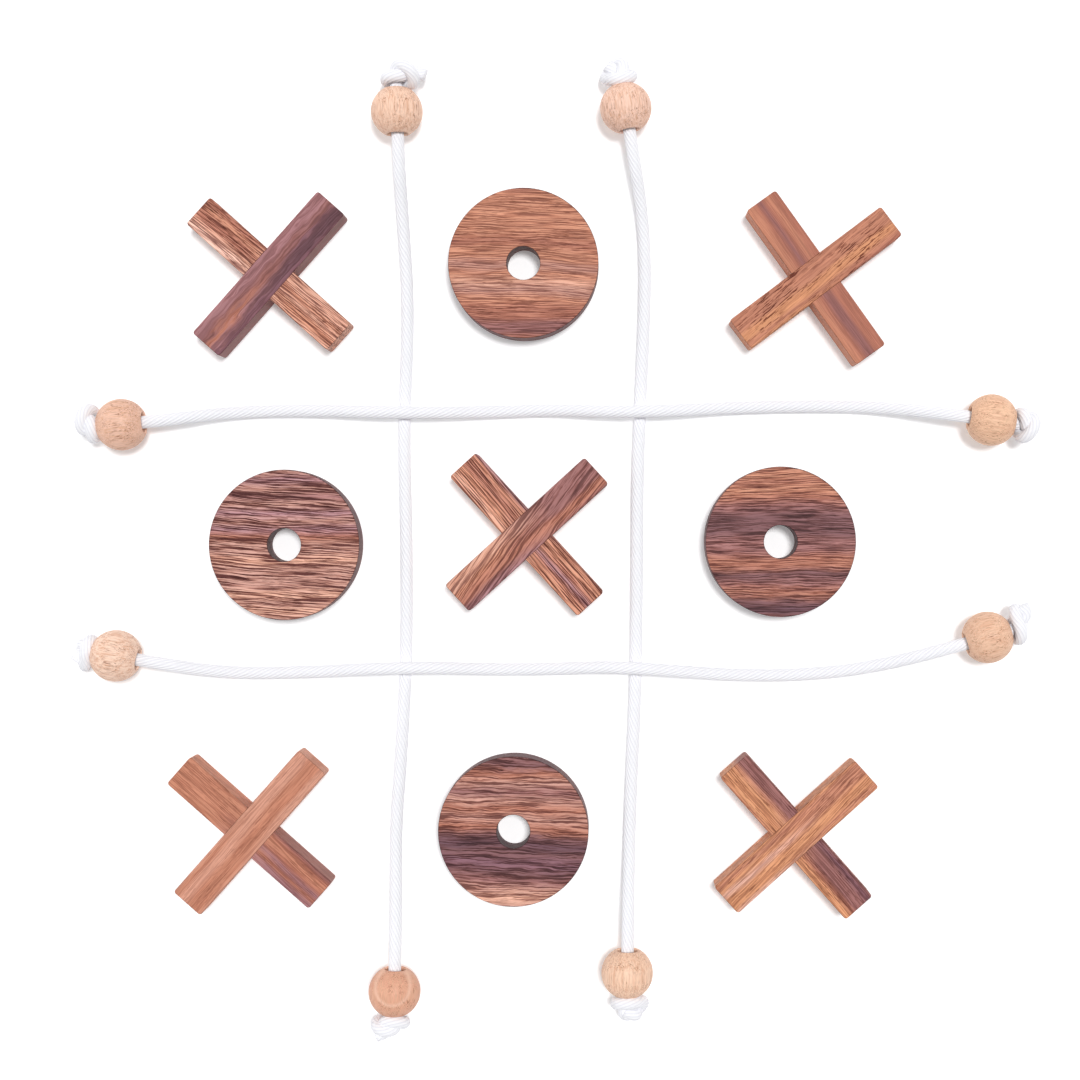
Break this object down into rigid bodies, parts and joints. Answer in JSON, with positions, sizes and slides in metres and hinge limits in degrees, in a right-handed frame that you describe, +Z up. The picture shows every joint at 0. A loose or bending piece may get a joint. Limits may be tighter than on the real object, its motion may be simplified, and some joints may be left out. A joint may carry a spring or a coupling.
{
  "type": "tic tac toe set",
  "caption": "Rope grid with wooden beads knotted on at the rope ends, laid flat with crossed-bar X pieces and round O pieces of dark wood in its squares.",
  "frame": {"origin": "on the surface that the set lies on, under the middle of the whole set", "axes": "+Z up, +Y along the upright ropes towards the top of the board, +X along the level ropes to the right"},
  "size_m": [0.4802, 0.4902, 0.0254],
  "materials": {
    "rope": "matt white twisted rope",
    "bead_wood": "smooth bare light wood with short brown pores",
    "game_wood": "oiled dark brown wood with purplish streaks and open grain"
  },
  "bodies": {
    "upright_ropes": {"rope_left": "rope", "rope_right": "rope", "knot_left_top": "rope", "knot_left_bottom": "rope", "knot_right_top": "rope", "knot_right_bottom": "rope"},
    "upper_rope": {"rope_upper": "rope", "knot_upper_left": "rope", "knot_upper_right": "rope"},
    "lower_rope": {"rope_lower": "rope", "knot_lower_left": "rope", "knot_lower_right": "rope"},
    "bead_left_top": {"bead_left_top": "bead_wood"},
    "bead_left_bottom": {"bead_left_bottom": "bead_wood"},
    "bead_right_top": {"bead_right_top": "bead_wood"},
    "bead_right_bottom": {"bead_right_bottom": "bead_wood"},
    "bead_upper_left": {"bead_upper_left": "bead_wood"},
    "bead_upper_right": {"bead_upper_right": "bead_wood"},
    "bead_lower_left": {"bead_lower_left": "bead_wood"},
    "bead_lower_right": {"bead_lower_right": "bead_wood"},
    "x_top_left": {"x_top_left_over_bar": "game_wood", "x_top_left_under_bar": "game_wood"},
    "x_top_right": {"x_top_right_over_bar": "game_wood", "x_top_right_under_bar": "game_wood"},
    "x_centre": {"x_centre_over_bar": "game_wood", "x_centre_under_bar": "game_wood"},
    "x_bottom_left": {"x_bottom_left_over_bar": "game_wood", "x_bottom_left_under_bar": "game_wood"},
    "x_bottom_right": {"x_bottom_right_over_bar": "game_wood", "x_bottom_right_under_bar": "game_wood"},
    "o_top": {"o_top": "game_wood"},
    "o_left": {"o_left": "game_wood"},
    "o_right": {"o_right": "game_wood"},
    "o_bottom": {"o_bottom": "game_wood"}
  },
  "joints": [
    {"name": "upper_rope_lift", "type": "slide", "parent": "upright_ropes", "child": "upper_rope", "axis": [0, 0, 1], "range_m": [0, 0.05]},
    {"name": "lower_rope_lift", "type": "slide", "parent": "upright_ropes", "child": "lower_rope", "axis": [0, 0, 1], "range_m": [0, 0.05]},
    {"name": "bead_left_top_turn", "type": "hinge", "parent": "upright_ropes", "child": "bead_left_top", "pos_m": [-0.0761, 0.2165, 0.0127], "axis": [-0.0349, 0.9994, 0], "continuous": true},
    {"name": "bead_left_bottom_turn", "type": "hinge", "parent": "upright_ropes", "child": "bead_left_bottom", "pos_m": [-0.0772, -0.217, 0.0127], "axis": [-0.0349, -0.9994, 0], "continuous": true},
    {"name": "bead_right_top_turn", "type": "hinge", "parent": "upright_ropes", "child": "bead_right_top", "pos_m": [0.0367, 0.2182, 0.0127], "axis": [-0.1564, 0.9877, 0], "continuous": true},
    {"name": "bead_right_bottom_turn", "type": "hinge", "parent": "upright_ropes", "child": "bead_right_bottom", "pos_m": [0.0374, -0.2079, 0.0127], "axis": [-0.0175, -0.9998, 0], "continuous": true},
    {"name": "bead_upper_left_turn", "type": "hinge", "parent": "upper_rope", "child": "bead_upper_left", "pos_m": [-0.2118, 0.0622, 0.0127], "axis": [-0.9962, -0.0872, 0], "continuous": true},
    {"name": "bead_upper_right_turn", "type": "hinge", "parent": "upper_rope", "child": "bead_upper_right", "pos_m": [0.2169, 0.0645, 0.0127], "axis": [0.9903, -0.1392, 0], "continuous": true},
    {"name": "bead_lower_left_turn", "type": "hinge", "parent": "lower_rope", "child": "bead_lower_left", "pos_m": [-0.2145, -0.0517, 0.0127], "axis": [-0.9848, 0.1736, 0], "continuous": true},
    {"name": "bead_lower_right_turn", "type": "hinge", "parent": "lower_rope", "child": "bead_lower_right", "pos_m": [0.215, -0.0426, 0.0127], "axis": [0.9613, 0.2756, 0], "continuous": true},
    {"name": "x_top_left_lift", "type": "slide", "parent": "upright_ropes", "child": "x_top_left", "axis": [0, 0, 1], "range_m": [0, 0.05]},
    {"name": "x_top_right_lift", "type": "slide", "parent": "upright_ropes", "child": "x_top_right", "axis": [0, 0, 1], "range_m": [0, 0.05]},
    {"name": "x_centre_lift", "type": "slide", "parent": "upright_ropes", "child": "x_centre", "axis": [0, 0, 1], "range_m": [0, 0.05]},
    {"name": "x_bottom_left_lift", "type": "slide", "parent": "upright_ropes", "child": "x_bottom_left", "axis": [0, 0, 1], "range_m": [0, 0.05]},
    {"name": "x_bottom_right_lift", "type": "slide", "parent": "upright_ropes", "child": "x_bottom_right", "axis": [0, 0, 1], "range_m": [0, 0.05]},
    {"name": "o_top_lift", "type": "slide", "parent": "upright_ropes", "child": "o_top", "axis": [0, 0, 1], "range_m": [0, 0.05]},
    {"name": "o_left_lift", "type": "slide", "parent": "upright_ropes", "child": "o_left", "axis": [0, 0, 1], "range_m": [0, 0.05]},
    {"name": "o_right_lift", "type": "slide", "parent": "upright_ropes", "child": "o_right", "axis": [0, 0, 1], "range_m": [0, 0.05]},
    {"name": "o_bottom_lift", "type": "slide", "parent": "upright_ropes", "child": "o_bottom", "axis": [0, 0, 1], "range_m": [0, 0.05]}
  ]
}
